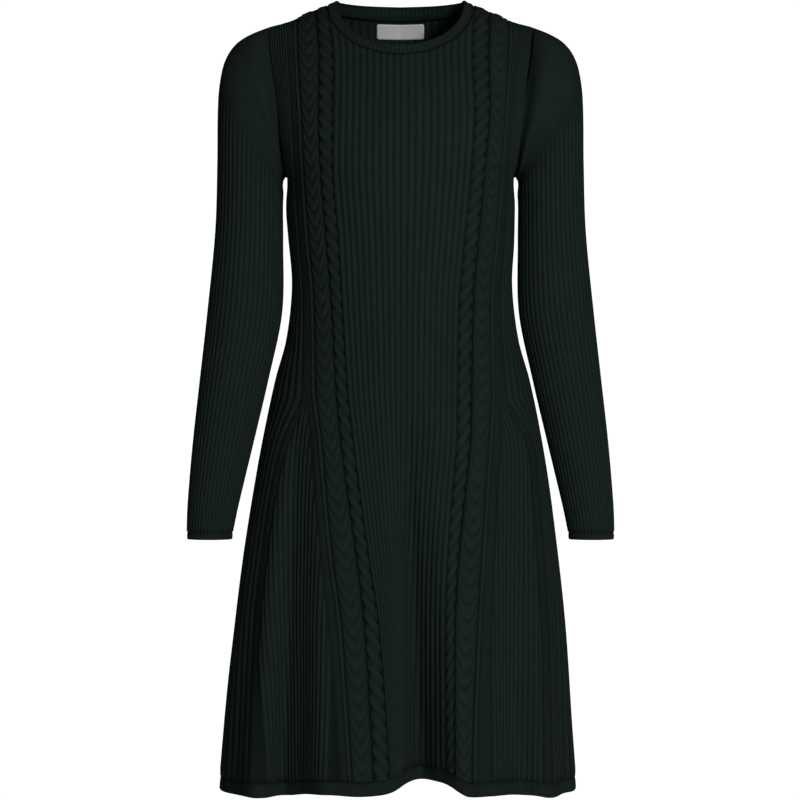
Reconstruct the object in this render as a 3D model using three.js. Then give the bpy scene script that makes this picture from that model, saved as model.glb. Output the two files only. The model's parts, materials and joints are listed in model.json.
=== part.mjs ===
// A long-sleeved ribbed sweater dress in the hollow form it has when worn.
// Millimetres, +Z up. The front faces -Y, and +X is on the right as seen from the front.
// The origin lies midway between the two points where the neckband meets the shoulder seams.
import * as THREE from "three";

// Driving dimensions
const wall = 2; // cloth thickness, without the ribs
const seamGap = 0.4; // clear space between two sewn pieces
const neckGap = 1; // the same at the neckband, whose seam turns sharply at the shoulders
const ribHeight = 1.3;
const bandHeight = 0.9; // plain knit bands stand this far over the grooves
const ropeHeight = 3.4;
const plaitHeight = 3.8;
const neckHalf = 88; // half the neck opening, at the neckband's seam
const frontNeckDrop = -66; // height of the front neck seam at the centre
const backNeckDrop = -8.5;
const neckbandWidth = 13;
const hemBandWidth = 16;
const cuffWidth = 9.5;
const sideHem = -936.8; // height of the lower edge at the side seams
const goreTop = -471; // height where each band splits and its gore begins
const underarm = -205;
const roundness = 2.15; // exponent of the body's sections, 2 being an ellipse
const shoulderFall = 200; // height over which the chest comes up to the shoulder ridge
const labelSize = { width: 58, rise: 0.9, from: 0.05 }; // rise and start are shares of one row of the back

const centreRibs = 20;
const backRibs = { middle: 16, shoulder: 6 };
const sideRibs = 6;
const goreRibPitch = 8.6;
const goreRibsEachHalf = 7;
const leastStrip = 1.5; // a gore's column nearer than this to the gore's edge lies on it
const sleeveRibs = 30;

// Half widths of the body as seen from the front, and its depths forward and back.
// Above the underarm the half width is that of the curve that the armhole cuts off.
const bodyRows = [
  { z: 30, halfWidth: 178, front: 94, back: 90 },
  { z: -25, halfWidth: 174, front: 97, back: 93 },
  { z: -60, halfWidth: 168, front: 101, back: 96 },
  { z: -100, halfWidth: 162, front: 108, back: 98 },
  { z: -140, halfWidth: 155, front: 114, back: 99 },
  { z: -170, halfWidth: 149, front: 117, back: 99 },
  { z: -190, halfWidth: 142, front: 118, back: 98.5 },
  { z: -205, halfWidth: 135.5, front: 118, back: 98 },
  { z: -240, halfWidth: 136.8, front: 114, back: 94 },
  { z: -280, halfWidth: 135, front: 105, back: 88 },
  { z: -335, halfWidth: 131.6, front: 96, back: 82 },
  { z: -400, halfWidth: 138.8, front: 103, back: 94 },
  { z: -448, halfWidth: 152, front: 110, back: 105 },
  { z: -520, halfWidth: 167, front: 118, back: 115 },
  { z: -592, halfWidth: 179, front: 126, back: 122 },
  { z: -688, halfWidth: 192, front: 134, back: 129 },
  { z: -784, halfWidth: 202, front: 142, back: 136 },
  { z: -880, halfWidth: 209.8, front: 148, back: 142 },
  { z: -945, halfWidth: 215, front: 152, back: 146 },
];

// How far the hip and the skirt hang over to the right, seen at their sides.
const leanRows = [
  { z: -250, lean: 0 },
  { z: -300, lean: 1.5 },
  { z: -450, lean: 2.3 },
  { z: -560, lean: 1.7 },
  { z: -647, lean: 0.4 },
  { z: -743, lean: -0.6 },
  { z: -839, lean: -2.7 },
  { z: -945, lean: -3.4 },
];

// Height of the lower edge of the front.
const hemRows = [
  { x: -216, z: -936.8 },
  { x: -186, z: -935.4 },
  { x: -172, z: -935.8 },
  { x: -155, z: -936.5 },
  { x: -132, z: -935.9 },
  { x: -104, z: -929.5 },
  { x: -80, z: -928 },
  { x: -50, z: -929.2 },
  { x: -25, z: -927.4 },
  { x: -10, z: -924.1 },
  { x: 6, z: -917.8 },
  { x: 22, z: -916.3 },
  { x: 48, z: -916.9 },
  { x: 58, z: -919.8 },
  { x: 68, z: -925.3 },
  { x: 78, z: -929.6 },
  { x: 106, z: -929.2 },
  { x: 142, z: -932.9 },
  { x: 160, z: -934 },
  { x: 176, z: -937.2 },
  { x: 190, z: -937.2 },
  { x: 216, z: -936.8 },
];

// Ridge of the shoulder, and the edge where the body meets the sleeve, as seen from the front.
const ridgeRows = [
  { x: 0, z: 19 },
  { x: 88, z: 1.5 },
  { x: 107, z: -6.6 },
  { x: 127, z: -16 },
  { x: 142, z: -21 },
  { x: 158, z: -25 },
  { x: 180, z: -31 },
];
const armholeRows = [
  { z: -25, x: 158 },
  { z: -60, x: 154 },
  { z: -100, x: 148 },
  { z: -140, x: 142.5 },
  { z: -170, x: 139.5 },
  { z: -190, x: 137 },
  { z: -205, x: 135.5 },
];

// Distances from the middle of the lines that part the zones of the front, one row for each height.
// rope and plait are the two cables, rib a single narrow rib, then a plain band that splits in two.
const leftRows = [
  { z: 0, rope: 88, plait: 103, rib: 125, band: 130, bandEnd: 134, crest: 134, crestEnd: 138 },
  { z: -64, rope: 79, plait: 97, rib: 122, band: 126.5, bandEnd: 130, crest: 130, crestEnd: 133.5 },
  { z: -135, rope: 78.6, plait: 97, rib: 117, band: 121.5, bandEnd: 125, crest: 125, crestEnd: 128.5 },
  { z: -205, rope: 79, plait: 94.5, rib: 113.5, band: 118, bandEnd: 121.5, crest: 121.5, crestEnd: 125 },
  { z: -280, rope: 73, plait: 88.5, rib: 108.5, band: 113, bandEnd: 116.5, crest: 116.5, crestEnd: 120 },
  { z: -352, rope: 69, plait: 82.5, rib: 102.4, band: 107, bandEnd: 111, crest: 111, crestEnd: 115 },
  { z: -460, rope: 62, plait: 76, rib: 100, band: 105, bandEnd: 110, crest: 110, crestEnd: 115 },
  { z: -471, rope: 61, plait: 75.2, rib: 99, band: 104, bandEnd: 110, crest: 110, crestEnd: 116 },
  { z: -520, rope: 55, plait: 70, rib: 92.3, band: 97, bandEnd: 105, crest: 131, crestEnd: 139 },
  { z: -581, rope: 47, plait: 62, rib: 87, band: 91.7, bandEnd: 100, crest: 145.5, crestEnd: 153.5 },
  { z: -658, rope: 36, plait: 51, rib: 79, band: 83.7, bandEnd: 92, crest: 156, crestEnd: 164 },
  { z: -730, rope: 25, plait: 42.5, rib: 69.2, band: 74, bandEnd: 84, crest: 163.5, crestEnd: 171.8 },
  { z: -877, rope: 13.7, plait: 33, rib: 58.5, band: 63.3, bandEnd: 72, crest: 168.5, crestEnd: 176.8 },
  { z: -945, rope: 11, plait: 30, rib: 54, band: 58.8, bandEnd: 67, crest: 170, crestEnd: 178 },
];
const rightRows = [
  { z: 0, rope: 88, plait: 107, rib: 130, band: 134, bandEnd: 137.5, crest: 137.5, crestEnd: 141 },
  { z: -64, rope: 84, plait: 104.5, rib: 128, band: 132, bandEnd: 135, crest: 135, crestEnd: 138 },
  { z: -135, rope: 86, plait: 105, rib: 123, band: 127, bandEnd: 129.5, crest: 129.5, crestEnd: 132 },
  { z: -205, rope: 82, plait: 99, rib: 118, band: 122, bandEnd: 125, crest: 125, crestEnd: 128 },
  { z: -280, rope: 75, plait: 92, rib: 112, band: 116.5, bandEnd: 120, crest: 120, crestEnd: 123.5 },
  { z: -352, rope: 68.5, plait: 86, rib: 106, band: 110.5, bandEnd: 114.5, crest: 114.5, crestEnd: 118.5 },
  { z: -460, rope: 66, plait: 83, rib: 106.5, band: 111.2, bandEnd: 117, crest: 117, crestEnd: 123 },
  { z: -471, rope: 66, plait: 83, rib: 106.5, band: 111.2, bandEnd: 118, crest: 118, crestEnd: 125 },
  { z: -520, rope: 65, plait: 81.5, rib: 103.3, band: 108, bandEnd: 117.5, crest: 147, crestEnd: 156.5 },
  { z: -581, rope: 59.7, plait: 75, rib: 99, band: 103.7, bandEnd: 113, crest: 154.5, crestEnd: 164 },
  { z: -658, rope: 54, plait: 67, rib: 94, band: 98.7, bandEnd: 108.5, crest: 160, crestEnd: 169.5 },
  { z: -730, rope: 51.5, plait: 63, rib: 89.4, band: 94, bandEnd: 105.5, crest: 164.3, crestEnd: 174 },
  { z: -877, rope: 52.5, plait: 62.5, rib: 83, band: 88.5, bandEnd: 105.5, crest: 167, crestEnd: 177 },
  { z: -945, rope: 53.5, plait: 63.5, rib: 83.5, band: 89.3, bandEnd: 105.5, crest: 168, crestEnd: 178.5 },
];
// The back has ribs from the middle out to the plain band; neck is the line that meets the neck's corner.
const backRows = [
  { z: 0, neck: 88, band: 130, bandEnd: 134, crest: 134, crestEnd: 138 },
  { z: -64, neck: 84, band: 128, bandEnd: 131.5, crest: 131.5, crestEnd: 135 },
  { z: -135, neck: 84, band: 123, bandEnd: 126, crest: 126, crestEnd: 129 },
  { z: -205, neck: 81, band: 119, bandEnd: 122.5, crest: 122.5, crestEnd: 126 },
  { z: -352, neck: 73, band: 108, bandEnd: 112, crest: 112, crestEnd: 116 },
  { z: -471, neck: 73, band: 107, bandEnd: 114, crest: 114, crestEnd: 121 },
  { z: -520, neck: 70, band: 103, bandEnd: 112, crest: 138, crestEnd: 147 },
  { z: -658, neck: 63, band: 93, bandEnd: 102, crest: 157, crestEnd: 166 },
  { z: -877, neck: 53, band: 78, bandEnd: 88, crest: 168, crestEnd: 177 },
  { z: -945, neck: 51, band: 75, bandEnd: 85, crest: 169, crestEnd: 178 },
];

// Folds of the skirt: place across at the top and the hem, height where it starts, how far it goes in
// at the hem (a crest goes out, below zero) and its half width at the top and the hem.
const frontFolds = [
  { topX: 6, hemX: 31, start: -440, depth: 52, topWidth: 34, hemWidth: 47 },
  { topX: -118, hemX: -128, start: -455, depth: 40, topWidth: 22, hemWidth: 42 },
  { topX: 133, hemX: 139, start: -455, depth: 17, topWidth: 20, hemWidth: 34 },
  { topX: -134, hemX: -178, start: -455, depth: -9, topWidth: 18, hemWidth: 30 },
  { topX: 150, hemX: 176, start: -455, depth: -7, topWidth: 18, hemWidth: 28 },
  { topX: 92, hemX: 100, start: -520, depth: -9, topWidth: 24, hemWidth: 32 },
];
const backFolds = [
  { topX: 0, hemX: -6, start: -450, depth: 30, topWidth: 34, hemWidth: 50 },
  { topX: -126, hemX: -132, start: -455, depth: 22, topWidth: 22, hemWidth: 40 },
  { topX: 126, hemX: 130, start: -455, depth: 20, topWidth: 22, hemWidth: 40 },
  { topX: -144, hemX: -175, start: -455, depth: -7, topWidth: 18, hemWidth: 28 },
  { topX: 144, hemX: 175, start: -455, depth: -7, topWidth: 18, hemWidth: 28 },
];

// Sleeve sections from the armhole down: outer and inner point as seen from the front, half depth
// and how far back the middle of the section lies.
const sleeveRows = [
  { outX: 179, outZ: -32, inX: 138.2, inZ: -206.5, halfDepth: 52, midY: -1 },
  { outX: 198.5, outZ: -45, inX: 139.6, inZ: -209.5, halfDepth: 51, midY: -2 },
  { outX: 211.5, outZ: -66, inX: 140.2, inZ: -213.5, halfDepth: 49.5, midY: -3 },
  { outX: 217.3, outZ: -95, inX: 140.4, inZ: -219.5, halfDepth: 48, midY: -4 },
  { outX: 218.5, outZ: -138, inX: 140.8, inZ: -229, halfDepth: 47, midY: -6 },
  { outX: 219, outZ: -190, inX: 141, inZ: -246, halfDepth: 46, midY: -8 },
  { outX: 221.5, outZ: -270, inX: 140.4, inZ: -286, halfDepth: 45, midY: -11 },
  { outX: 230.5, outZ: -365, inX: 141.4, inZ: -367, halfDepth: 43, midY: -15 },
  { outX: 239.5, outZ: -448, inX: 157.8, inZ: -448, halfDepth: 39.5, midY: -19 },
  { outX: 247.8, outZ: -525, inX: 175.8, inZ: -525, halfDepth: 35.5, midY: -23 },
  { outX: 253.4, outZ: -595, inX: 192.4, inZ: -595, halfDepth: 31.5, midY: -27 },
  { outX: 254.4, outZ: -628, inX: 199.2, inZ: -628, halfDepth: 29, midY: -29 },
];
const firstRibbedRow = 5; // sleeve rows above this one are smooth
const cuffSection = { outX: 254.2, inX: 199.8, halfDepth: 28.5, midY: -29.5 };

// Rows of a panel: shares of its length between the hem, the gore's top, the underarm and its top.
const skirtShares = [0, 0.2, 0.4, 0.6, 0.8];
const waistShares = [0, 0.25, 0.5, 0.75];
const chestShares = [0, 0.35, 0.65, 0.86, 0.96, 1];
// How many steps the cables, and the armhole's edge, take in each of those rows.
const cableSteps = [9, 9, 9, 10, 10, 7, 7, 7, 7, 8, 7, 5, 2, 1];
const edgeSteps = [1, 1, 1, 1, 1, 1, 1, 1, 1, 5, 4, 3, 2, 1];

const yarn = { color: 0x18221f, roughness: 0.92, metalness: 0 };
const labelCloth = { color: 0xbfbec2, roughness: 0.7, metalness: 0 };

// Helpers
const mix = (a, b, t) => a + (b - a) * t;
const clamp = (v, low, high) => Math.min(high, Math.max(low, v));
const hump = (t) => (Math.abs(t) < 1 ? (1 + Math.cos(Math.PI * t)) / 2 : 0);
const easeIn = (t) => {
  const c = clamp(t, 0, 1);
  return c * c * (3 - 2 * c);
};

// Smooth reading of one column of a table whose rows run from high to low (or low to high) in a key.
function read(rows, column, at, key = "z") {
  const down = rows[0][key] > rows[rows.length - 1][key] ? -1 : 1;
  let i = 0;
  while (i < rows.length - 2 && (rows[i + 1][key] - at) * down < 0) i++;
  const slope = (k) => {
    const a = rows[Math.max(k - 1, 0)];
    const b = rows[Math.min(k + 1, rows.length - 1)];
    return (b[column] - a[column]) / (b[key] - a[key]);
  };
  const from = rows[i];
  const to = rows[i + 1];
  const span = to[key] - from[key];
  const t = clamp((at - from[key]) / span, 0, 1);
  const u = 1 - t;
  return (
    from[column] * (1 + 2 * t) * u * u +
    to[column] * (1 + 2 * u) * t * t +
    slope(i) * span * t * u * u -
    slope(i + 1) * span * t * t * u
  );
}

function readStraight(rows, column, at, key) {
  const down = rows[0][key] > rows[rows.length - 1][key] ? -1 : 1;
  let i = 0;
  while (i < rows.length - 2 && (rows[i + 1][key] - at) * down < 0) i++;
  const t = clamp((at - rows[i][key]) / (rows[i + 1][key] - rows[i][key]), 0, 1);
  return mix(rows[i][column], rows[i + 1][column], t);
}

// Body form
const front = { face: -1, depth: "front", folds: frontFolds };
const back = { face: 1, depth: "back", folds: backFolds };

function foldDepth(side, x, z) {
  let sum = 0;
  for (const f of side.folds) {
    const t = clamp((z - f.start) / (-940 - f.start), 0, 1);
    const width = mix(f.topWidth, f.hemWidth, t);
    sum += f.depth * Math.pow(t, 1.15) * hump((x - mix(f.topX, f.hemX, t)) / width);
  }
  return sum;
}

// Share of the full depth that the chest has reached, a given fall below the shoulder ridge.
function chestShare(x, z) {
  const fall = clamp((readStraight(ridgeRows, "z", Math.abs(x), "x") - z) / shoulderFall, 0, 1);
  return Math.sin((Math.PI / 2) * Math.pow(fall, 0.6));
}

// One half of a section of the body at a height, from the middle out to the side, as points with
// their distance along the cloth.
const sectionCache = new Map();
function section(side, half, z) {
  const key = `${side.face} ${half} ${z.toFixed(3)}`;
  if (sectionCache.has(key)) return sectionCache.get(key);
  const a = read(bodyRows, "halfWidth", z) - ribHeight;
  const b = read(bodyRows, side.depth, z) - ribHeight;
  const lean = read(leanRows, "lean", z);
  const steps = 150;
  const points = [];
  let run = 0;
  for (let i = 0; i <= steps; i++) {
    const angle = ((Math.PI / 2) * i) / steps;
    const x = a * Math.pow(Math.sin(angle), 2 / roundness);
    const across = Math.pow(Math.max(Math.cos(angle), 0), 2 / roundness);
    const fade = 1 - Math.pow(x / a, 8);
    const depth = b * across * chestShare(x, z) - foldDepth(side, half * x, z) * fade;
    const leant = half * x + lean * Math.pow(x / a, 2);
    const point = { x: leant, y: side.face * (i === steps ? 0 : depth), s: 0 };
    if (i > 0) run += Math.hypot(point.x - points[i - 1].x, point.y - points[i - 1].y);
    point.s = run;
    points.push(point);
  }
  sectionCache.set(key, points);
  return points;
}

// Distance along the cloth of the point at a given distance from the middle plane.
function alongAt(side, half, x, z) {
  const points = section(side, half, z);
  let i = 0;
  while (i < points.length - 2 && Math.abs(points[i + 1].x) < x) i++;
  const low = Math.abs(points[i].x);
  const high = Math.abs(points[i + 1].x);
  return mix(points[i].s, points[i + 1].s, clamp((x - low) / (high - low), 0, 1));
}

function placeAt(side, half, s, z) {
  const points = section(side, half, z);
  let i = 0;
  while (i < points.length - 2 && points[i + 1].s < s) i++;
  const t = clamp((s - points[i].s) / (points[i + 1].s - points[i].s), 0, 1);
  return new THREE.Vector3(mix(points[i].x, points[i + 1].x, t), mix(points[i].y, points[i + 1].y, t), z);
}

function normalAt(side, half, s, z) {
  const step = 2;
  const low = Math.max(s - step, 0);
  const across = placeAt(side, half, s + step, z).sub(placeAt(side, half, low, z));
  const up = placeAt(side, half, s, z).sub(placeAt(side, half, s, z - step));
  const normal = across.cross(up).normalize();
  return normal.multiplyScalar(Math.sign(normal.y * side.face || 1));
}

// Heights of the panels' edges
function topAt(side, x) {
  const distance = Math.abs(x);
  if (distance >= neckHalf) return readStraight(ridgeRows, "z", distance, "x");
  const ridge = readStraight(ridgeRows, "z", neckHalf, "x");
  const drop = side === front ? frontNeckDrop : backNeckDrop;
  return mix(ridge, drop, Math.sqrt(1 - Math.pow(distance / neckHalf, 2)));
}

function hemAt(side, x) {
  const nearSide = easeIn((Math.abs(x) - 175) / 30); // both panels end at one height at the seams
  const drop = 4 * Math.pow(x / 213, 4);
  const level = side === front ? read(hemRows, "z", x, "x") : -932 + 5 * hump(x / 55) - drop;
  return mix(level, sideHem, nearSide);
}

function armholeX(z) {
  return z > underarm ? read(armholeRows, "x", z) : Infinity;
}

// Distances along the cloth of the zones' border lines, from the middle to the panel's edge.
const frontBorders = ["rope", "plait", "rib", "band", "bandEnd", "crest", "crestEnd"];
const backBorders = ["neck", "band", "bandEnd", "crest", "crestEnd"];
const borderCache = new Map();
function bordersAt(side, half, z) {
  const key = `${side.face} ${half} ${z.toFixed(3)}`;
  if (borderCache.has(key)) return borderCache.get(key);
  const rows = side === back ? backRows : half < 0 ? leftRows : rightRows;
  const names = side === back ? backBorders : frontBorders;
  const points = section(side, half, z);
  const lines = { middle: 0 };
  for (const name of names) lines[name] = alongAt(side, half, read(rows, name, z), z);
  if (z >= goreTop - 0.001) lines.crest = lines.bandEnd;
  const edgeX = armholeX(z);
  lines.edge = edgeX === Infinity ? points[points.length - 1].s : alongAt(side, half, edgeX, z);
  borderCache.set(key, lines);
  return lines;
}

// A column of a panel: the zone it lies in, its share of that zone and the height of its relief.
// Columns of the gore lie a whole number of half ribs from its middle, and close up on its edges.
// extra holds what else is true of a column: gore, edge, bandSplit or weave.
function column(from, to, share, relief, extra = {}) {
  return { from, to, share, relief, ...extra };
}

function goreAlong(lines, col) {
  return (lines.bandEnd + lines.crest + col.gore * goreRibPitch) / 2;
}

// The edge that a gore's column has closed up on at a height, if it has.
function shutOn(side, half, col, z) {
  const lines = bordersAt(side, half, z);
  if (goreAlong(lines, col) - lines.bandEnd < leastStrip) return "bandEnd";
  return lines.crest - goreAlong(lines, col) < leastStrip ? "crest" : undefined;
}

function columnAlong(side, half, col, z) {
  const lines = bordersAt(side, half, z);
  if (col.gore === undefined) return mix(lines[col.from], lines[col.to], col.share);
  const edge = shutOn(side, half, col, z);
  return edge ? lines[edge] : goreAlong(lines, col);
}

function reliefAt(col, z) {
  return col.bandSplit ? bandHeight * easeIn((z - goreTop + 45) / 45) : col.relief;
}

function columnTop(side, half, col) {
  let z = -60;
  for (let i = 0; i < 20; i++) z = topAt(side, placeAt(side, half, columnAlong(side, half, col, z), z).x);
  return z;
}

function columnBottom(side, half, col) {
  let z = -920;
  for (let i = 0; i < 6; i++) {
    const x = placeAt(side, half, columnAlong(side, half, col, z), z).x;
    z = hemAt(side, x) + hemBandWidth;
  }
  return z;
}

// Height of a row, a whole number with its share of the next, between a column's ends.
const rowShares = [
  ...skirtShares.map((share) => ({ low: "hem", high: "gore", share })),
  ...waistShares.map((share) => ({ low: "gore", high: "arm", share })),
  ...chestShares.map((share) => ({ low: "arm", high: "top", share })),
];
const rowCount = rowShares.length - 1;
const armholeFoot = rowCount - (chestShares.length - 1); // row at the underarm

function rowHeight(ends, row) {
  const heightOf = ({ low, high, share }) => mix(ends[low], ends[high], share);
  const whole = Math.min(Math.floor(row), rowCount - 1);
  return mix(heightOf(rowShares[whole]), heightOf(rowShares[whole + 1]), row - whole);
}

function rowsOf(stepsInRow) {
  const rows = [];
  for (let row = 0; row < rowCount; row++) {
    for (let i = 0; i < stepsInRow[row]; i++) rows.push(row + i / stepsInRow[row]);
  }
  rows.push(rowCount);
  return rows;
}
const plainRows = rowsOf(cableSteps.map(() => 1));
const cableRows = rowsOf(cableSteps);
const edgeRows = rowsOf(edgeSteps);

// One point of a panel: on the cloth's base form, then out by a height. Side and shoulder edges are
// kept square to the seam, half a gap from it.
function panelPoint(side, half, col, z, out, onTop) {
  const s = columnAlong(side, half, col, z);
  const point = placeAt(side, half, s, z);
  const normal = normalAt(side, half, s, z);
  const onEdge = col.edge === true;
  const onShoulder = onTop && Math.abs(point.x) >= neckHalf - 0.01;
  if ((onEdge && z <= underarm + 0.01) || onShoulder) {
    normal.y = 0;
    normal.normalize();
    point.y = (side.face * seamGap) / 2;
  }
  return point.addScaledVector(normal, out);
}

function columnEnds(side, half, col) {
  const hem = columnBottom(side, half, col);
  return { hem, gore: goreTop, arm: underarm, top: columnTop(side, half, col) };
}

function panelColumn(side, half, col, inside) {
  const ends = columnEnds(side, half, col);
  const weave = inside ? undefined : col.weave;
  const rows = col.edge ? edgeRows : weave ? cableRows : plainRows;
  return rows.map((row, i) => {
    const moved = clamp(i + (weave ? weave.lean : 0), 0, rows.length - 1);
    const low = Math.floor(moved);
    const leant = mix(rows[low], rows[Math.min(low + 1, rows.length - 1)], moved - low);
    let z = rowHeight(ends, leant);
    let at = col;
    const edge = col.gore === undefined ? undefined : shutOn(side, half, col, z);
    if (edge) {
      at = border(edge, { bandSplit: true });
      z = rowHeight(columnEnds(side, half, at), row);
    }
    const last = i === rows.length - 1;
    let out = reliefAt(at, z) * (last ? 0.3 : 1);
    if (inside) out = -wall;
    else if (weave) out = weaveHeight(weave, i, i === 0 || last);
    return { w: row, p: panelPoint(side, half, at, z, out, last) };
  });
}

// Cables. A row of their mesh follows a strand's crest or the groove beside it, in turn.
function weaveHeight({ height, phase }, i, edge) {
  const crest = (i + phase) % 2 === 0 ? 1 : 0.38;
  return edge ? Math.min(height * crest, 1) : height * crest;
}

function ropeColumns(half) {
  const cross = half < 0 ? -1 : 1; // the strands of the two sides lean opposite ways
  const shares = [0.28, 0.72];
  return shares.map((share, i) =>
    column("rope", "plait", share, 0, {
      weave: { height: ropeHeight, phase: 0, lean: cross * (i === 0 ? 0.9 : -0.9) },
    }),
  );
}

function plaitColumns() {
  const shares = [0.25, 0.5, 0.75];
  const leans = [0.5, -0.9, 0.5];
  return shares.map((share, i) =>
    column("plait", "rib", share, 0, {
      weave: { height: plaitHeight * (i === 1 ? 0.9 : 1), phase: i === 2 ? 1 : 0, lean: leans[i] },
    }),
  );
}

// Ribs between two borders, as a crest and a groove in turn, without the borders themselves.
function ribColumns(from, to, ribs) {
  const columns = [];
  for (let i = 1; i < ribs * 2; i++) {
    columns.push(column(from, to, i / (ribs * 2), i % 2 ? ribHeight : 0));
  }
  return columns;
}

function goreColumns() {
  const columns = [];
  for (let i = 1 - goreRibsEachHalf * 2; i < goreRibsEachHalf * 2; i++) {
    columns.push(column("bandEnd", "crest", 0, i % 2 ? ribHeight : 0, { gore: i }));
  }
  return columns;
}

const border = (name, extra) => column(name, name, 0, 0, extra);
const groove = { weave: { height: 0.6, phase: 0, lean: 0 } }; // cable border, with a point at every row

// Outer columns of half a panel, from beside the middle to the edge.
function outerColumns(side, half) {
  const cables = [
    ...ribColumns("middle", "rope", centreRibs / 2),
    border("rope", groove),
    ...ropeColumns(half),
    border("plait", groove),
    ...plaitColumns(),
    border("rib", groove),
    ...ribColumns("rib", "band", 1),
  ];
  const plainBack = [
    ...ribColumns("middle", "neck", backRibs.middle / 2),
    border("neck"),
    ...ribColumns("neck", "band", backRibs.shoulder / 2),
  ];
  return [
    ...(side === front ? cables : plainBack),
    border("band"),
    column("band", "bandEnd", 0.5, bandHeight),
    border("bandEnd", { bandSplit: true }),
    ...goreColumns(),
    border("crest", { bandSplit: true }),
    column("crest", "crestEnd", 0.5, bandHeight),
    border("crestEnd"),
    ...ribColumns("crestEnd", "edge", sideRibs),
    border("edge", { edge: true }),
  ];
}

// Inner columns: the wall is plain inside, so one column does for two or three ribs.
const middleShares = [0.2, 0.4, 0.6, 0.8, 0.92]; // closer at the neck's corner
function innerColumns(side) {
  const columns = [];
  const spread = (from, to, count) => {
    for (let i = 1; i < count; i++) columns.push(column(from, to, i / count, 0));
  };
  if (side === front) {
    for (const share of middleShares) columns.push(column("middle", "rope", share, 0));
    columns.push(border("rope"), border("plait"));
    spread("plait", "rib", 2);
    columns.push(border("rib"));
  } else {
    for (const share of middleShares) columns.push(column("middle", "neck", share, 0));
    columns.push(border("neck"));
    spread("neck", "band", 2);
    columns.push(border("band"));
  }
  columns.push(border("bandEnd", { bandSplit: true }));
  for (let i = 3 - goreRibsEachHalf * 2; i < goreRibsEachHalf * 2 - 2; i += 3) {
    columns.push(column("bandEnd", "crest", 0, 0, { gore: i }));
  }
  columns.push(border("crest", { bandSplit: true }), border("crestEnd"));
  spread("crestEnd", "edge", 3);
  columns.push(border("edge", { edge: true }));
  return columns;
}

// Columns of a whole panel, from left to right as seen from outside.
function wholePanel(side, inside) {
  const halfColumns = (half) => {
    const list = inside ? innerColumns(side) : outerColumns(side, half);
    return list.map((col) => ({ half, col, points: panelColumn(side, half, col, inside) }));
  };
  const first = side.face; // -1 for the front, whose left is at -X
  const middle = column("middle", "middle", 0, 0);
  return [
    ...halfColumns(first).reverse(),
    { half: -first, col: middle, points: panelColumn(side, -first, middle, inside) },
    ...halfColumns(-first),
  ];
}

// Mesh building
class Skin {
  constructor() {
    this.positions = [];
    this.index = [];
    this.seen = new Map();
  }

  vertex(p) {
    const key = `${p.x.toFixed(3)} ${p.y.toFixed(3)} ${p.z.toFixed(3)}`;
    if (!this.seen.has(key)) {
      this.seen.set(key, this.positions.length / 3);
      this.positions.push(p.x, p.y, p.z);
    }
    return this.seen.get(key);
  }

  triangle(a, b, c) {
    const [i, j, k] = [this.vertex(a), this.vertex(b), this.vertex(c)];
    if (i !== j && j !== k && k !== i) this.index.push(i, j, k);
  }

  // Triangles between two lines of points, each point with its place w along them.
  zip(left, right) {
    let i = 0;
    let j = 0;
    while (i < left.length - 1 || j < right.length - 1) {
      const nextLeft = i < left.length - 1 ? left[i + 1].w : Infinity;
      const nextRight = j < right.length - 1 ? right[j + 1].w : Infinity;
      if (nextRight <= nextLeft) {
        this.triangle(left[i].p, right[j].p, right[j + 1].p);
        j++;
      } else {
        this.triangle(left[i].p, right[j].p, left[i + 1].p);
        i++;
      }
    }
  }

  geometry() {
    let volume = 0;
    const corner = (n) => new THREE.Vector3().fromArray(this.positions, this.index[n] * 3);
    for (let n = 0; n < this.index.length; n += 3) {
      volume += corner(n).dot(corner(n + 1).cross(corner(n + 2)));
    }
    const index = [];
    for (let n = 0; n < this.index.length; n += 3) {
      const [a, b, c] = this.index.slice(n, n + 3);
      index.push(a, volume < 0 ? c : b, volume < 0 ? b : c);
    }
    const made = new THREE.BufferGeometry();
    made.setAttribute("position", new THREE.Float32BufferAttribute(this.positions, 3));
    made.setIndex(index);
    made.computeVertexNormals();
    return made;
  }
}

// A row of points across the columns, placed along it by the distance they cover.
function acrossRow(columns, pick, closed = false) {
  const points = columns.map((points) => pick(points));
  if (closed) points.push(points[0]);
  return points;
}

function byDistance(points) {
  let run = 0;
  const placed = points.map((p, i) => {
    if (i > 0) run += p.distanceTo(points[i - 1]);
    return { w: run, p };
  });
  placed.forEach((item) => (item.w /= run));
  return placed;
}

const firstOf = (points) => points[0].p;
const lastOf = (points) => points[points.length - 1].p;

function panelGeometry(side) {
  const outer = wholePanel(side, false).map((item) => item.points);
  const inner = wholePanel(side, true).map((item) => item.points);
  const skin = new Skin();
  for (let i = 1; i < outer.length; i++) skin.zip(outer[i - 1], outer[i]);
  for (let i = 1; i < inner.length; i++) skin.zip(inner[i], inner[i - 1]);
  skin.zip(byDistance(acrossRow(inner, lastOf)), byDistance(acrossRow(outer, lastOf)));
  skin.zip(byDistance(acrossRow(outer, firstOf)), byDistance(acrossRow(inner, firstOf)));
  skin.zip(inner[0], outer[0]);
  skin.zip(outer[outer.length - 1], inner[inner.length - 1]);
  return skin.geometry();
}

// A tube with open ends, from closed sets of outer and inner columns.
function tubeGeometry(outer, inner) {
  const skin = new Skin();
  outer.forEach((points, i) => skin.zip(points, outer[(i + 1) % outer.length]));
  inner.forEach((points, i) => skin.zip(inner[(i + 1) % inner.length], points));
  for (const [pick, flip] of [
    [lastOf, false],
    [firstOf, true],
  ]) {
    const outerRing = byDistance(acrossRow(outer, pick, true));
    const innerRing = byDistance(acrossRow(inner, pick, true));
    if (flip) skin.zip(outerRing, innerRing);
    else skin.zip(innerRing, outerRing);
  }
  return skin.geometry();
}

const lineOf = (points) => points.map((p, w) => ({ w, p }));

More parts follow.
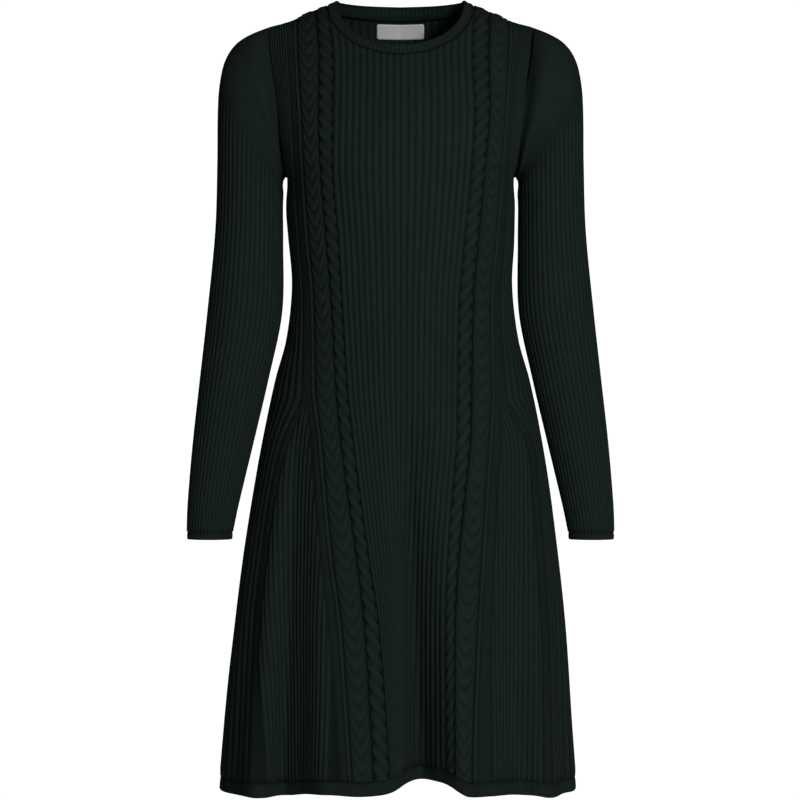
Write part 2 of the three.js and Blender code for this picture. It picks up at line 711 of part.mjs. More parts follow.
// Neckband: ribs round the neck seam, made from the ends of the panels' own columns. It stands up
// at the front and back and lies in at the sides.
function neckbandColumns(inside) {
  const feet = [];
  for (const side of [front, back]) {
    const list = wholePanel(side, inside).map(({ half, col }) => {
      const z = columnTop(side, half, col);
      const foot = panelPoint(side, half, col, z, 0, true);
      return { foot, normal: panelPoint(side, half, col, z, 1, true).sub(foot) };
    });
    feet.push(...list.filter(({ foot }) => Math.abs(foot.x) <= neckHalf + 0.05).slice(side === back ? 1 : 0));
  }
  feet.pop();
  const count = feet.length;
  return feet.map(({ foot, normal }, i) => {
    const tangent = feet[(i + 1) % count].foot.clone().sub(feet[(i + count - 1) % count].foot).normalize();
    const forward = -foot.y / Math.hypot(foot.x, foot.y);
    const lie = mix(0.94, forward > 0 ? 0.38 : 0.16, Math.pow(Math.abs(forward), 1.6));
    const rise = new THREE.Vector3(-foot.x, -foot.y, 0).normalize().multiplyScalar(lie);
    rise.z = Math.sqrt(1 - lie * lie);
    rise.addScaledVector(tangent, -rise.dot(tangent)).normalize();
    const away = new THREE.Vector3().crossVectors(normal, tangent).normalize();
    if (away.dot(rise) < 0) away.negate();
    const topNormal = new THREE.Vector3().crossVectors(rise, tangent).normalize();
    if (topNormal.dot(normal) < 0) topNormal.negate();
    const out = inside ? -wall : i % 2 ? ribHeight : 0;
    const low = foot.clone().addScaledVector(away, neckGap);
    const high = low.clone().addScaledVector(rise, neckbandWidth - neckGap).addScaledVector(topNormal, out);
    return lineOf([low.addScaledVector(normal, out), high]);
  });
}

function neckbandGeometry() {
  return tubeGeometry(neckbandColumns(false), neckbandColumns(true));
}

// Hem band: a plain ring that goes on below both panels, made from their own lower edge.
function hemGeometry() {
  const columnsOf = (inside) => {
    const columns = [];
    for (const side of [front, back]) {
      const panel = wholePanel(side, true);
      panel.forEach((item, i) => {
        const last = i === panel.length - 1;
        const seam = item.col.edge === true;
        const levels = [0, hemBandWidth - seamGap];
        const hem = columnBottom(side, item.half, item.col) - hemBandWidth;
        const points = levels.map((up) => {
          const p = panelPoint(side, item.half, item.col, hem + up, inside ? -wall : 0, false);
          if (seam) p.y = 0;
          return p;
        });
        if (!last) columns.push(lineOf(points));
      });
    }
    return columns;
  };
  return tubeGeometry(columnsOf(false), columnsOf(true));
}

// Sleeves
const Y = new THREE.Vector3(0, 1, 0);

function sleevePoint(row, angle, out) {
  const outer = new THREE.Vector3(-row.outX, row.midY, row.outZ ?? row.z);
  const inner = new THREE.Vector3(-row.inX, row.midY, row.inZ ?? row.z);
  const arm = outer.clone().sub(inner).multiplyScalar(0.5);
  const radius = arm.length();
  const scale = (radius - ribHeight + out) / radius;
  const middle = outer.add(inner).multiplyScalar(0.5);
  const depth = row.halfDepth - ribHeight + out;
  return middle.addScaledVector(arm, scale * Math.cos(angle)).addScaledVector(Y, -depth * Math.sin(angle));
}

// The armhole's edge on the left, front from the shoulder down and then the back up again, as pairs
// of the panel's outer and inner point, moved off the panel by the seam's gap.
function armholeRing() {
  const edge = border("edge", { edge: true });
  const ring = [];
  for (const side of [front, back]) {
    const outer = panelColumn(side, -1, edge, false).filter(({ w }) => w >= armholeFoot);
    const inner = panelColumn(side, -1, edge, true).filter(({ w }) => w >= armholeFoot);
    const pairs = outer.map(({ p }, i) => {
      const before = outer[Math.max(i - 1, 0)].p;
      const after = outer[Math.min(i + 1, outer.length - 1)].p;
      const along = after.clone().sub(before).normalize();
      const normal = p.clone().sub(inner[i].p).normalize();
      const away = new THREE.Vector3().crossVectors(along, normal).multiplyScalar(side.face).normalize();
      if (i === 0) away.set(0, 0, 1);
      if (i === outer.length - 1) away.set(-1, 0, 0);
      away.multiplyScalar(seamGap);
      return { outer: p.clone().add(away), inner: inner[i].p.clone().add(away) };
    });
    if (side === front) ring.push(...pairs.reverse());
    else ring.push(...pairs.slice(1, -1));
  }
  for (const pair of [ring[0], ring[ring.length / 2]]) {
    pair.outer.y = 0;
    pair.inner.y = 0;
  }
  return ring;
}

function sleeveGeometry(mirrored) {
  const ring = armholeRing();
  const outer = [];
  const inner = [];
  const flip = (p) => (mirrored ? new THREE.Vector3(-p.x, p.y, p.z) : p);
  ring.forEach((pair, i) => {
    const angle = (2 * Math.PI * i) / sleeveRibs;
    const crest = (2 * Math.PI * (i + 0.5)) / sleeveRibs;
    const grooves = [pair.outer, ...sleeveRows.map((row) => sleevePoint(row, angle, 0))];
    const crestOf = (row, k) =>
      k < firstRibbedRow ? sleevePoint(row, angle, 0) : sleevePoint(row, crest, ribHeight);
    const crests = [pair.outer, ...sleeveRows.map(crestOf)];
    outer.push(lineOf(grooves.map(flip)), lineOf(crests.map(flip)));
    const plain = [pair.inner, ...sleeveRows.map((row) => sleevePoint(row, angle, -wall))];
    inner.push(lineOf(plain.map(flip)));
  });
  return tubeGeometry(outer, inner);
}

function cuffGeometry(mirrored) {
  const end = sleeveRows[sleeveRows.length - 1];
  const rows = [
    { ...end, outZ: end.outZ - seamGap, inZ: end.inZ - seamGap },
    { ...cuffSection, z: end.outZ - cuffWidth },
  ];
  const columnsOf = (inside) => {
    const columns = [];
    for (let i = 0; i < sleeveRibs; i++) {
      const angle = (2 * Math.PI * i) / sleeveRibs;
      const points = rows.map((row) => sleevePoint(row, angle, inside ? -wall : 0.4));
      columns.push(lineOf(points.map((p) => (mirrored ? new THREE.Vector3(-p.x, p.y, p.z) : p))));
    }
    return columns;
  };
  return tubeGeometry(columnsOf(false), columnsOf(true));
}

// Label: made from the inside points of the back between two of its rows, moved in.
function labelGeometry() {
  const panel = wholePanel(back, true);
  const middle = (panel.length - 1) / 2;
  const rows = [labelSize.from, labelSize.from + labelSize.rise];
  const columns = [-2, -1, 0, 1, 2].map((k) => panel[middle + k].points.slice(-3, -1).map(({ p }) => p));
  const inward = columns.map(([low, high], i) => {
    const next = columns[Math.min(i + 1, 4)][0].clone().sub(columns[Math.max(i - 1, 0)][0]);
    return next.cross(high.clone().sub(low)).normalize();
  });
  const width = columns[4][0].distanceTo(columns[0][0]);
  const trim = (labelSize.width / width - 0.5) * 2; // share of the outermost columns that is kept
  const point = (i, row, lift) => {
    const kept = i === 0 ? columns[1] : i === 4 ? columns[3] : columns[i];
    const low = kept[0].clone().lerp(columns[i][0], i % 4 ? 1 : clamp(trim, 0.2, 1));
    const high = kept[1].clone().lerp(columns[i][1], i % 4 ? 1 : clamp(trim, 0.2, 1));
    return low.lerp(high, row).addScaledVector(inward[i], -lift);
  };
  const skin = new Skin();
  const near = [0, 1, 2, 3, 4].map((i) => rows.map((row) => ({ w: row, p: point(i, row, 0.3) })));
  const far = [0, 1, 2, 3, 4].map((i) => rows.map((row) => ({ w: row, p: point(i, row, 1) })));
  for (let i = 1; i < 5; i++) {
    skin.zip(near[i - 1], near[i]);
    skin.zip(far[i], far[i - 1]);
  }
  skin.zip(byDistance(acrossRow(far, lastOf)), byDistance(acrossRow(near, lastOf)));
  skin.zip(byDistance(acrossRow(near, firstOf)), byDistance(acrossRow(far, firstOf)));
  skin.zip(far[0], near[0]);
  skin.zip(near[4], far[4]);
  return skin.geometry();
}

// Assembly
const dress = new THREE.Group();

function add(name, geometry, look) {
  const mesh = new THREE.Mesh(geometry, new THREE.MeshStandardMaterial(look));
  mesh.name = name;
  dress.add(mesh);
}

add("front", panelGeometry(front), yarn);
add("back", panelGeometry(back), yarn);
add("neckband", neckbandGeometry(), yarn);
add("hem_band", hemGeometry(), yarn);
add("sleeve_left", sleeveGeometry(false), yarn);
add("sleeve_right", sleeveGeometry(true), yarn);
add("cuff_left", cuffGeometry(false), yarn);
add("cuff_right", cuffGeometry(true), yarn);
add("label", labelGeometry(), labelCloth);

export default dress;
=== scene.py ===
# Long ribbed sweater dress as worn: knitted panels, cables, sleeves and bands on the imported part.
# Forms are worked out in millimetres, like the part's source, and turned to metres when a piece is made.
import json
import math

import bmesh
import bpy
import numpy as np
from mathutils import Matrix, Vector

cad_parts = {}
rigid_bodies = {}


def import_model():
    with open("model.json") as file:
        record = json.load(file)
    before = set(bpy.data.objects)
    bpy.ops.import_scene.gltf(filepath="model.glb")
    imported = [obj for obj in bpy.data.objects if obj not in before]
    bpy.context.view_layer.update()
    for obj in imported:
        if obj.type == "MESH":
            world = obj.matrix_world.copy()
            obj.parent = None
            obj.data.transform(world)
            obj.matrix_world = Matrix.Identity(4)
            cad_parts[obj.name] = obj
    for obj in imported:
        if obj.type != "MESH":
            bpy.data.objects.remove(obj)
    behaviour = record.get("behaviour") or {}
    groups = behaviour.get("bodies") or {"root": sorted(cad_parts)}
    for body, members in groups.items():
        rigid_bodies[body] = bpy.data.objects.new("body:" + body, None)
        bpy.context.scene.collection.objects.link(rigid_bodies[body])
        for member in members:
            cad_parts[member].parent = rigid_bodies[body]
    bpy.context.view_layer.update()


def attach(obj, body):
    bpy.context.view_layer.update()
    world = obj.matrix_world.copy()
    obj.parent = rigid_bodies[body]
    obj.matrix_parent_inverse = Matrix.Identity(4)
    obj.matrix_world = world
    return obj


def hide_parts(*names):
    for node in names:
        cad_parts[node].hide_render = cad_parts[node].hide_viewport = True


print("stage: frame")
for old in list(bpy.data.objects):
    bpy.data.objects.remove(old)
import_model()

# Body form, with the part's own values
form = {
    "ribHeight": 1.3,
    "bandHeight": 0.9,
    "roundness": 2.15,
    "shoulderFall": 200,
    "neckHalf": 88,
    "ridgeAtNeck": 1.5,
    "neckDrop": {"front": -66, "back": -8.5},
    "hemBand": 16,
    "sideHem": -936.8,
    "goreTop": -471,
    "underarm": -205,
    "seamGap": 0.4,
    "thickness": 2.0,
}
# height, half width, depth forward, depth back
bodyRows = np.array([
    [30, 178, 94, 90], [-25, 174, 97, 93], [-60, 168, 101, 96], [-100, 162, 108, 98],
    [-140, 155, 114, 99], [-170, 149, 117, 99], [-190, 142, 118, 98.5], [-205, 135.5, 118, 98],
    [-240, 136.8, 114, 94], [-280, 135, 105, 88], [-335, 131.6, 96, 82], [-400, 138.8, 103, 94],
    [-448, 152, 110, 105], [-520, 167, 118, 115], [-592, 179, 126, 122], [-688, 192, 134, 129],
    [-784, 202, 142, 136], [-880, 209.8, 148, 142], [-945, 215, 152, 146],
])
# height and how far the hip and the skirt hang over to the right at their sides
leanRows = np.array([
    [-250, 0], [-300, 1.5], [-450, 2.3], [-560, 1.7], [-647, 0.4], [-743, -0.6], [-839, -2.7], [-945, -3.4],
])
# place across and height of the front's lower edge
hemRows = np.array([
    [-216, -936.8], [-186, -935.4], [-172, -935.8], [-155, -936.5], [-132, -935.9],
    [-104, -929.5], [-80, -928], [-50, -929.2], [-25, -927.4], [-10, -924.1], [6, -917.8], [22, -916.3],
    [48, -916.9], [58, -919.8], [68, -925.3], [78, -929.6], [106, -929.2], [142, -932.9], [160, -934],
    [176, -937.2], [190, -937.2], [216, -936.8],
])
# place across and height of the shoulder line
ridgeRows = np.array([[0, 19], [88, 1.5], [107, -6.6], [127, -16], [142, -21], [158, -25], [180, -31]])
# height and place across of the armhole's edge
armholeRows = np.array([
    [-25, 158], [-60, 154], [-100, 148], [-140, 142.5], [-170, 139.5], [-190, 137], [-205, 135.5],
])

# height, then the distance from the middle of each border line between two zones
frontLines = ["rope", "plait", "rib", "band", "bandEnd", "crest", "crestEnd"]
leftRows = np.array([
    [0, 88, 103, 125, 130, 134, 134, 138], [-64, 79, 97, 122, 126.5, 130, 130, 133.5],
    [-135, 78.6, 97, 117, 121.5, 125, 125, 128.5], [-205, 79, 94.5, 113.5, 118, 121.5, 121.5, 125],
    [-280, 73, 88.5, 108.5, 113, 116.5, 116.5, 120], [-352, 69, 82.5, 102.4, 107, 111, 111, 115],
    [-460, 62, 76, 100, 105, 110, 110, 115], [-471, 61, 75.2, 99, 104, 110, 110, 116],
    [-520, 55, 70, 92.3, 97, 105, 131, 139], [-581, 47, 62, 87, 91.7, 100, 145.5, 153.5],
    [-658, 36, 51, 79, 83.7, 92, 156, 164], [-730, 25, 42.5, 69.2, 74, 84, 163.5, 171.8],
    [-877, 13.7, 33, 58.5, 63.3, 72, 168.5, 176.8], [-945, 11, 30, 54, 58.8, 67, 170, 178],
])
rightRows = np.array([
    [0, 88, 107, 130, 134, 137.5, 137.5, 141], [-64, 84, 104.5, 128, 132, 135, 135, 138],
    [-135, 86, 105, 123, 127, 129.5, 129.5, 132], [-205, 82, 99, 118, 122, 125, 125, 128],
    [-280, 75, 92, 112, 116.5, 120, 120, 123.5], [-352, 68.5, 86, 106, 110.5, 114.5, 114.5, 118.5],
    [-460, 66, 83, 106.5, 111.2, 117, 117, 123], [-471, 66, 83, 106.5, 111.2, 118, 118, 125],
    [-520, 65, 81.5, 103.3, 108, 117.5, 147, 156.5], [-581, 59.7, 75, 99, 103.7, 113, 154.5, 164],
    [-658, 54, 67, 94, 98.7, 108.5, 160, 169.5], [-730, 51.5, 63, 89.4, 94, 105.5, 164.3, 174],
    [-877, 52.5, 62.5, 83, 88.5, 105.5, 167, 177], [-945, 53.5, 63.5, 83.5, 89.3, 105.5, 168, 178.5],
])
backLines = ["neck", "band", "bandEnd", "crest", "crestEnd"]
backRows = np.array([
    [0, 88, 130, 134, 134, 138], [-64, 84, 128, 131.5, 131.5, 135], [-135, 84, 123, 126, 126, 129],
    [-205, 81, 119, 122.5, 122.5, 126], [-352, 73, 108, 112, 112, 116], [-471, 73, 107, 114, 114, 121],
    [-520, 70, 103, 112, 138, 147], [-658, 63, 93, 102, 157, 166], [-877, 53, 78, 88, 168, 177],
    [-945, 51, 75, 85, 169, 178],
])
# folds of the skirt: x at the top and the hem, height of the start, depth, half width at the top and the hem
frontFolds = [
    (6, 31, -440, 52, 34, 47), (-118, -128, -455, 40, 22, 42), (133, 139, -455, 17, 20, 34),
    (-134, -178, -455, -9, 18, 30), (150, 176, -455, -7, 18, 28), (92, 100, -520, -9, 24, 32),
]
backFolds = [
    (0, -6, -450, 30, 34, 50), (-126, -132, -455, 22, 22, 40), (126, 130, -455, 20, 22, 40),
    (-144, -175, -455, -7, 18, 28), (144, 175, -455, -7, 18, 28),
]
# folds that deepen the valleys of the front in the cloth alone
sharpFolds = [
    (4, 21, -440, 20, 12, 26), (-120, -140, -480, 12, 8, 18), (-150, -196, -500, 12, 14, 20),
    (-150, -172, -500, -4, 10, 14), (168, 199, -560, 26, 8, 15),
]
front = {"name": "front", "face": -1, "depth": bodyRows[:, 2], "folds": frontFolds + sharpFolds}
back = {"name": "back", "face": 1, "depth": bodyRows[:, 3], "folds": backFolds}


def mix(a, b, t):
    return a + (b - a) * t


def ease(t):
    c = np.clip(t, 0, 1)
    return c * c * (3 - 2 * c)


def hump(t):
    return np.where(np.abs(t) < 1, (1 + np.cos(np.pi * t)) / 2, 0)


def unit(v):
    return v / np.maximum(np.linalg.norm(v, axis=-1, keepdims=True), 1e-9)


def smoothRead(keys, values, at):
    order = np.argsort(keys)
    keys, values = keys[order], values[order]
    last = len(keys) - 1
    before, after = np.maximum(np.arange(last + 1) - 1, 0), np.minimum(np.arange(last + 1) + 1, last)
    slope = (values[after] - values[before]) / (keys[after] - keys[before])
    i = np.clip(np.searchsorted(keys, at) - 1, 0, last - 1)
    span = keys[i + 1] - keys[i]
    t = np.clip((at - keys[i]) / span, 0, 1)
    u = 1 - t
    return (values[i] * (1 + 2 * t) * u * u + values[i + 1] * (1 + 2 * u) * t * t
            + slope[i] * span * t * u * u - slope[i + 1] * span * t * t * u)


def foldDepth(side, x, z):
    total = 0
    for topX, hemX, start, depth, topWidth, hemWidth in side["folds"]:
        t = np.clip((z - start) / (-940 - start), 0, 1)
        total = total + depth * t ** 1.15 * hump((x - mix(topX, hemX, t)) / mix(topWidth, hemWidth, t))
    return total


def ridgeAt(x):
    return np.interp(np.abs(x), ridgeRows[:, 0], ridgeRows[:, 1])


# Sampled halves: sections of the cloth at many heights, so that every piece reads one surface
zStep = 1.5
zGrid = np.arange(-966, 34, zStep)
acrossSteps = 400


def sampledHalf(side, half):
    angle = np.linspace(0, np.pi / 2, 181)
    a = (smoothRead(bodyRows[:, 0], bodyRows[:, 1], zGrid) - form["ribHeight"])[:, None]
    b = (smoothRead(bodyRows[:, 0], side["depth"], zGrid) - form["ribHeight"])[:, None]
    z = zGrid[:, None]
    power = 2 / form["roundness"]
    x = a * np.sin(angle) ** power
    fall = np.clip((ridgeAt(x) - z) / form["shoulderFall"], 0, 1)
    share = np.sin(np.pi / 2 * fall ** 0.6)
    depth = b * np.clip(np.cos(angle), 0, 1) ** power * share
    depth = depth - foldDepth(side, half * x, z) * (1 - (x / a) ** 8)
    depth[:, -1] = 0
    x = x + half * smoothRead(leanRows[:, 0], leanRows[:, 1], zGrid)[:, None] * (x / a) ** 2
    run = np.cumsum(np.hypot(np.diff(x, axis=1), np.diff(depth, axis=1)), axis=1)
    s = np.hstack([np.zeros((len(zGrid), 1)), run])
    end = s[:, -1]
    spread = np.linspace(0, 1, acrossSteps + 1)
    sampled = {"side": side, "half": half, "end": end}
    sampled["x"] = np.array([np.interp(spread * end[k], s[k], x[k]) for k in range(len(zGrid))])
    sampled["y"] = np.array([np.interp(spread * end[k], s[k], depth[k]) for k in range(len(zGrid))])
    names = frontLines if side is front else backLines
    rows = backRows if side is back else leftRows if half < 0 else rightRows
    lines = [np.zeros(len(zGrid))]
    for n in range(len(names)):
        at = smoothRead(rows[:, 0], rows[:, n + 1], zGrid)
        lines.append(np.array([np.interp(at[k], x[k], s[k]) for k in range(len(zGrid))]))
    names = ["middle"] + names + ["edge"]
    above = zGrid >= form["goreTop"]
    lines[names.index("crest")][above] = lines[names.index("bandEnd")][above]
    edgeX = np.where(zGrid > form["underarm"], smoothRead(armholeRows[:, 0], armholeRows[:, 1], zGrid), 999)
    lines.append(np.array([np.interp(edgeX[k], x[k], s[k]) for k in range(len(zGrid))]))
    sampled["lines"] = np.array(lines)
    sampled["names"] = names
    return sampled


def gridSample(table, column, z):
    k = (z - zGrid[0]) / zStep
    i = np.clip(np.floor(k).astype(int), 0, len(zGrid) - 2)
    f = np.clip(k - i, 0, 1)
    j = np.clip(np.floor(column).astype(int), 0, table.shape[1] - 2)
    g = np.clip(column - j, 0, 1)
    low = mix(table[i, j], table[i, j + 1], g)
    return mix(low, mix(table[i + 1, j], table[i + 1, j + 1], g), f)


def lineAt(part, index, z):
    k = (z - zGrid[0]) / zStep
    i = np.clip(np.floor(k).astype(int), 0, len(zGrid) - 2)
    return mix(part["lines"][index, i], part["lines"][index, i + 1], np.clip(k - i, 0, 1))


def placeAt(part, s, z):
    s, z = np.broadcast_arrays(s, z)
    column = np.clip(s / np.interp(z, zGrid, part["end"]), 0, 1) * acrossSteps
    x = gridSample(part["x"], column, z) * part["half"]
    y = gridSample(part["y"], column, z) * part["side"]["face"]
    return np.stack([x, y, z], -1)


def normalAt(part, s, z):
    across = placeAt(part, s + 2, z) - placeAt(part, np.maximum(s - 2, 0), z)
    up = placeAt(part, s, z) - placeAt(part, s, z - 2)
    normal = unit(np.cross(across, up))
    face = np.where(normal[..., 1:2] * part["side"]["face"] < 0, -1, 1)
    return normal * face


def topAt(side, x):
    distance = np.abs(x)
    lift = np.sqrt(np.clip(1 - (distance / form["neckHalf"]) ** 2, 0, 1))
    inNeck = mix(form["ridgeAtNeck"], form["neckDrop"][side["name"]], lift)
    return np.where(distance >= form["neckHalf"], ridgeAt(x), inNeck)


def hemAt(side, x):
    if side is front:
        level = smoothRead(hemRows[:, 0], hemRows[:, 1], x)
    else:
        level = -932 + 5 * hump(x / 55) - 4 * (x / 213) ** 4
    return mix(level, form["sideHem"], ease((np.abs(x) - 175) / 30))


halves = {(side["name"], half): sampledHalf(side, half) for side in (front, back) for half in (-1, 1)}

# Making a piece from a grid of points


def gridPiece(name, points, uv, relief, outward, thickness=None):
    rows, cols = points.shape[:2]
    bm = bmesh.new()
    bmesh.ops.create_grid(bm, x_segments=cols - 1, y_segments=rows - 1, size=1)
    bm.verts.ensure_lookup_table()
    uvLayer = bm.loops.layers.uv.new("knit")
    # the relief attribute carries rib and cable heights, which the yarn material turns into painted shade in
    # the grooves
    reliefLayer = bm.verts.layers.float.new("relief")
    place = {}
    for v in bm.verts:
        i, j = round((v.co.x + 1) / 2 * (cols - 1)), round((v.co.y + 1) / 2 * (rows - 1))
        place[v.index] = (j, i)
        v.co = Vector(points[j, i] * 0.001)
        v[reliefLayer] = float(relief[j, i])
    for face in bm.faces:
        face.smooth = True
        for loop in face.loops:
            loop[uvLayer].uv = uv[place[loop.vert.index]]
    bm.normal_update()
    facing = sum(v.normal.dot(Vector(outward[place[v.index]])) for v in bm.verts)
    if facing < 0:
        bmesh.ops.reverse_faces(bm, faces=bm.faces[:])
    bmesh.ops.remove_doubles(bm, verts=bm.verts[:], dist=0.00003)
    bmesh.ops.dissolve_degenerate(bm, edges=bm.edges[:], dist=0.00001)
    mesh = bpy.data.meshes.new(name)
    bm.to_mesh(mesh)
    bm.free()
    piece = bpy.data.objects.new(name, mesh)
    bpy.context.scene.collection.objects.link(piece)
    if thickness:
        shell = piece.modifiers.new("cloth", "SOLIDIFY")
        shell.thickness = thickness * 0.001
        shell.offset = -1
    return piece


def cutArea(points):
    a = points[1:, :-1] - points[:-1, :-1]
    b = points[:-1, 1:] - points[:-1, :-1]
    return float(np.linalg.norm(np.cross(a, b), axis=-1).sum()) * 1e-6


def ribShape(phase, power=2.4):
    return 1 - np.abs(2 * (phase % 1) - 1) ** power


# Panels
panel = {
    "centreRibs": 20,
    "backMiddleRibs": 18,
    "backShoulderRibs": 6,
    "sideRibs": 7,
    "gorePitch": 6.4,
    "goreRibs": 9,  # ribs each side of a gore's middle line at the hem
    "stepsPerRib": 5,
    "ribDepth": 1.9,
    "cableGround": -1.0,  # ground of the cables, under the smooth cloth
    "skirtRows": 54,
    "waistRows": 28,
    "chestRows": 30,
}


def zone(names, start, end, shares, **values):
    columns = []
    for share in shares:
        column = {"low": names.index(start), "high": names.index(end), "share": share, "gore": np.nan,
                  "phase": 0.0, "rib": 0.0, "flat": 0.0, "split": 0.0}
        column.update({key: value(share) if callable(value) else value for key, value in values.items()})
        columns.append(column)
    return columns


def ribZone(names, start, end, ribs, steps):
    shares = np.arange(1, ribs * steps) / (ribs * steps)
    return zone(names, start, end, shares, phase=lambda share: share * ribs, rib=1.0)


def panelColumns(part):
    names, steps = part["names"], panel["stepsPerRib"]
    columns = []
    if part["side"] is front:
        columns += ribZone(names, "middle", "rope", panel["centreRibs"] // 2, steps)
        columns += zone(names, "rope", "rope", [0])
        columns += zone(names, "rope", "plait", np.linspace(0.12, 1, 6), flat=panel["cableGround"])
        columns += zone(names, "plait", "rib", np.linspace(0.12, 0.88, 7), flat=panel["cableGround"])
        columns += zone(names, "rib", "rib", [0])
        columns += ribZone(names, "rib", "band", 1, steps)
    else:
        columns += ribZone(names, "middle", "neck", panel["backMiddleRibs"] // 2, steps)
        columns += zone(names, "neck", "neck", [0])
        columns += ribZone(names, "neck", "band", panel["backShoulderRibs"], steps)
    columns += zone(names, "band", "band", [0])
    columns += zone(names, "band", "bandEnd", [0.18, 0.45, 0.75], flat=form["bandHeight"])
    columns += zone(names, "bandEnd", "bandEnd", [0], split=1.0)
    count = panel["goreRibs"] * steps
    for k in range(-count, count + 1):
        columns += zone(names, "bandEnd", "crest", [0], gore=k / steps * panel["gorePitch"], phase=k / steps,
                        rib=1.0, split=1.0)
    columns += zone(names, "crest", "crest", [0], split=1.0)
    columns += zone(names, "crest", "crestEnd", [0.25, 0.55, 0.82], flat=form["bandHeight"])
    columns += zone(names, "crestEnd", "crestEnd", [0])
    columns += ribZone(names, "crestEnd", "edge", panel["sideRibs"], steps)
    columns += zone(names, "edge", "edge", [0])
    return {key: np.array([column[key] for column in columns]) for key in columns[0]}


def alongAt(part, columns, z):
    low, high = lineAt(part, columns["low"], z), lineAt(part, columns["high"], z)
    inGore = np.isfinite(columns["gore"])
    gore = np.clip((low + high) / 2 + np.nan_to_num(columns["gore"]), low, high)
    return np.where(inGore, gore, mix(low, high, columns["share"])), low, high


def columnEnds(part, columns):
    count = len(columns["share"])
    top, bottom = np.full(count, -60.0), np.full(count, -920.0)
    for _ in range(20):
        top = topAt(part["side"], placeAt(part, alongAt(part, columns, top)[0], top)[..., 0])
        x = placeAt(part, alongAt(part, columns, bottom)[0], bottom)[..., 0]
        bottom = hemAt(part["side"], x) + form["hemBand"]
    return bottom, top


def panelRows(bottom, top):
    def spread(count, last=False):
        return np.linspace(0, 1, count, endpoint=last)[:, None]
    chest = 1 - (1 - spread(panel["chestRows"], True)) ** 1.25
    return np.vstack([
        mix(bottom, form["goreTop"], spread(panel["skirtRows"])),
        mix(form["goreTop"], form["underarm"], spread(panel["waistRows"])) + 0 * top,
        mix(form["underarm"], top, chest),
    ])


def halfPanel(part):
    columns = panelColumns(part)
    bottom, top = columnEnds(part, columns)
    z = panelRows(bottom, top)
    along, low, high = alongAt(part, columns, z)
    names, gore = part["names"], np.isfinite(columns["gore"])
    # a gore's column that has reached the gore's edge takes the edge column's own points
    edges = [np.where((columns["low"] == names.index(n)) & (columns["high"] == names.index(n)))[0][0]
             for n in ("bandEnd", "crest")]
    for edge, shut in ((edges[0], along <= low + 0.8), (edges[1], along >= high - 0.8)):
        shut = shut & gore
        z = np.where(shut, z[:, edge:edge + 1], z)
        along = np.where(shut, lineAt(part, columns["low"][edge], z), along)
    gap = np.minimum(along - low, high - along)
    joined = form["bandHeight"] * ease((z - form["goreTop"] + 45) / 45)
    ribs = ribShape(columns["phase"]) * panel["ribDepth"] * columns["rib"]
    relief = ribs + columns["flat"]
    relief = np.where(columns["split"] > 0, joined, relief)
    relief = np.where(gore, mix(joined, ribs, ease(gap / 2.5)), relief)
    relief = np.broadcast_to(relief, z.shape).copy()
    relief[-1] *= 0.3
    relief[0] *= 0.6
    points, normals = placeAt(part, along, z), normalAt(part, along, z)
    onSeam = np.zeros(z.shape, bool)
    onSeam[:, -1] = z[:, -1] <= form["underarm"] + 0.01
    onSeam[-1] |= np.abs(points[-1, :, 0]) >= form["neckHalf"] - 0.01
    normals[onSeam, 1] = 0
    normals = unit(normals)
    points[onSeam, 1] = part["side"]["face"] * form["seamGap"] / 2
    uv = np.stack([along, z], -1) * 0.001
    uv[..., 0] *= part["half"]
    return points + normals * relief[..., None], normals, uv, np.clip(relief / panel["ribDepth"], -1, 1)


def panelPiece(side):
    left, right = (halfPanel(halves[side["name"], half]) for half in (-1, 1))
    middle = halves[side["name"], 1]
    z = right[2][:, :1, 1] * 1000
    base, normal = placeAt(middle, np.zeros_like(z), z), normalAt(middle, np.zeros_like(z), z)
    seam = (base, normal, np.stack([0 * z, z], -1) * 0.001, 0 * z)
    points, normals, uv, relief = (np.concatenate([left[k][:, ::-1], seam[k], right[k]], axis=1)
                                   for k in range(4))
    print(side["name"], "area", round(cutArea(points), 4), "width", np.abs(uv[0, :, 0]).max() * 2)
    return gridPiece(side["name"] + "_knit", points, uv, relief, normals, form["thickness"])


print("stage: panels")
frontPiece = panelPiece(front)
backPiece = panelPiece(back)

# Cables of the front: on each side a rope of two strands and a wider one of nested loops, open upwards
cable = {
    "ropeHeight": 1.9,
    "plaitHeight": 2.7,
    "loopRise": 1.55,  # how far a loop's arms reach up, in spacings
    "loopCurve": 2.0,
    "columns": 17,
    "rows": 560,
    "spacingTop": 15.6,  # from one crossing to the next
    "spacingSkirt": 19.5,
    "tuck": -1.6,  # edges go down into the ground
    "thickness": 1.2,
}


def cableTurns(z):
    fine = np.arange(-1000, 60, 2.0)
    spacing = np.interp(fine, [form["goreTop"], 0], [cable["spacingSkirt"], cable["spacingTop"]])
    return np.interp(z, fine, np.cumsum(2.0 / spacing))


def ropeHeights(t, z):
    best, centre = np.full(t.shape, -9.0), np.zeros(t.shape)
    for k in range(2):
        theta = np.pi * (cableTurns(z) + k)
        middle = 0.44 * np.sin(theta)
        q = 1 - ((t - middle) / 0.58) ** 2
        height = np.where(q > 0, 0.66 * np.sqrt(np.clip(q, 0, 1)) + 0.34 * np.cos(theta), -9)
        centre = np.where(height > best, middle, centre)
        best = np.maximum(best, height)
    return best, centre


def loopHeights(t, z):
    phase = cableTurns(z) - cable["loopRise"] * np.abs(t) ** cable["loopCurve"]
    lobe = phase % 1
    across = 1 - np.abs(t) ** 5
    fallen = np.clip((lobe - 0.3) / 0.7, 0, 1)
    swell = ease(lobe / 0.3) - 0.75 * fallen ** 1.6  # each loop lies over the one below
    return across * (0.3 + 0.7 * swell), 0 * t


